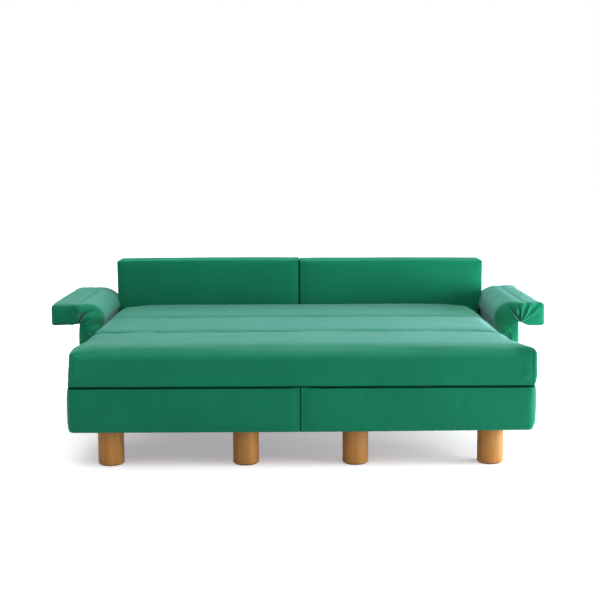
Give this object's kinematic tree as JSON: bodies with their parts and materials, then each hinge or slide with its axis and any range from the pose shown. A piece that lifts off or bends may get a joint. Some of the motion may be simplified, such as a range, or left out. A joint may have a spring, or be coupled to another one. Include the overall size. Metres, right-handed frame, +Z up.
{
  "type": "sofa bed",
  "caption": "Pull-out sofa bed shown as a bed: three hinged mattress sections on an upholstered base with round legs, a low split back and arms with fold-down flaps.",
  "frame": {"origin": "on the floor under the middle of the opened bed's box, flaps folded out", "axes": "+Z up, +Y towards the back rest, +X to the sitter's left (the right side seen from the front)"},
  "size_m": [2.474, 1.71, 0.753],
  "materials": {
    "green_fabric": "plain woven cotton, matte",
    "beech_legs": "satin lacquer",
    "plywood_boards": "raw plywood",
    "birch_slats": "raw bent birch",
    "dark_painted_steel": "black powder coat",
    "zinc_plated_steel": "zinc plated",
    "white_nylon": "moulded nylon",
    "grey_felt": "pressed felt"
  },
  "bodies": {
    "sofa": {"rear_box_left": "plywood_boards", "rear_box_right": "plywood_boards", "rear_cover_left": "green_fabric", "rear_cover_right": "green_fabric", "rear_legs_left": "beech_legs", "rear_legs_right": "beech_legs", "rear_leg_bolts": "zinc_plated_steel", "rear_leg_glides": "grey_felt", "rear_guide_rails": "dark_painted_steel", "rear_rail_sliders": "white_nylon", "back_hinge_plates": "dark_painted_steel", "rear_joining_bolts": "zinc_plated_steel", "back_pad_left": "green_fabric", "back_pad_right": "green_fabric", "back_panel_left": "plywood_boards", "back_panel_right": "plywood_boards", "back_posts": "dark_painted_steel", "back_post_bolts": "zinc_plated_steel", "arm_pad_left": "green_fabric", "arm_pad_right": "green_fabric", "arm_board_left": "plywood_boards", "arm_board_right": "plywood_boards", "arm_packer_left": "plywood_boards", "arm_packer_right": "plywood_boards", "arm_bolts_left": "zinc_plated_steel", "arm_bolts_right": "zinc_plated_steel", "arm_ratchet_bases_left": "dark_painted_steel", "arm_ratchet_bases_right": "dark_painted_steel"},
    "rear_panel": {"rear_frame": "plywood_boards", "rear_slats": "birch_slats", "rear_cushion": "green_fabric", "rear_hinge_plates": "dark_painted_steel"},
    "middle_panel": {"middle_frame": "plywood_boards", "middle_slats": "birch_slats", "middle_cushion": "green_fabric", "middle_hinge_plates": "dark_painted_steel"},
    "front_carriage": {"front_box_left": "plywood_boards", "front_box_right": "plywood_boards", "front_cover_left": "green_fabric", "front_cover_right": "green_fabric", "front_leg_left_outer": "beech_legs", "front_leg_left_inner": "beech_legs", "front_leg_right_inner": "beech_legs", "front_leg_right_outer": "beech_legs", "front_leg_bolts": "zinc_plated_steel", "front_leg_glides": "grey_felt", "front_guide_rails": "dark_painted_steel", "front_rail_sliders": "white_nylon", "front_slats": "birch_slats", "front_cushion": "green_fabric", "front_hinge_plates": "dark_painted_steel", "front_joining_bolts": "zinc_plated_steel"},
    "arm_flap_left": {"flap_pad_left": "green_fabric", "flap_board_left": "plywood_boards", "flap_ratchet_leaves_left": "dark_painted_steel"},
    "arm_flap_right": {"flap_pad_right": "green_fabric", "flap_board_right": "plywood_boards", "flap_ratchet_leaves_right": "dark_painted_steel"}
  },
  "joints": [
    {"name": "rear_panel_fold", "type": "hinge", "parent": "sofa", "child": "rear_panel", "pos_m": [0, 0.645, 0.495], "axis": [-1, 0, 0], "range_deg": [0, 85]},
    {"name": "middle_panel_fold", "type": "hinge", "parent": "rear_panel", "child": "middle_panel", "pos_m": [0, 0.145, 0.353], "axis": [-1, 0, 0], "range_deg": [-170, 0]},
    {"name": "front_carriage_fold", "type": "hinge", "parent": "middle_panel", "child": "front_carriage", "pos_m": [0, -0.355, 0.495], "axis": [-1, 0, 0], "range_deg": [0, 85]},
    {"name": "arm_flap_left_fold", "type": "hinge", "parent": "sofa", "child": "arm_flap_left", "pos_m": [-1.055, 0.4535, 0.541], "axis": [0, 1, 0], "range_deg": [0, 90]},
    {"name": "arm_flap_right_fold", "type": "hinge", "parent": "sofa", "child": "arm_flap_right", "pos_m": [1.055, 0.4535, 0.541], "axis": [0, -1, 0], "range_deg": [0, 90]}
  ],
  "couplings": [
    {"joint": "middle_panel_fold", "follows": "rear_panel_fold", "ratio": -2},
    {"joint": "front_carriage_fold", "follows": "rear_panel_fold", "ratio": 1}
  ]
}
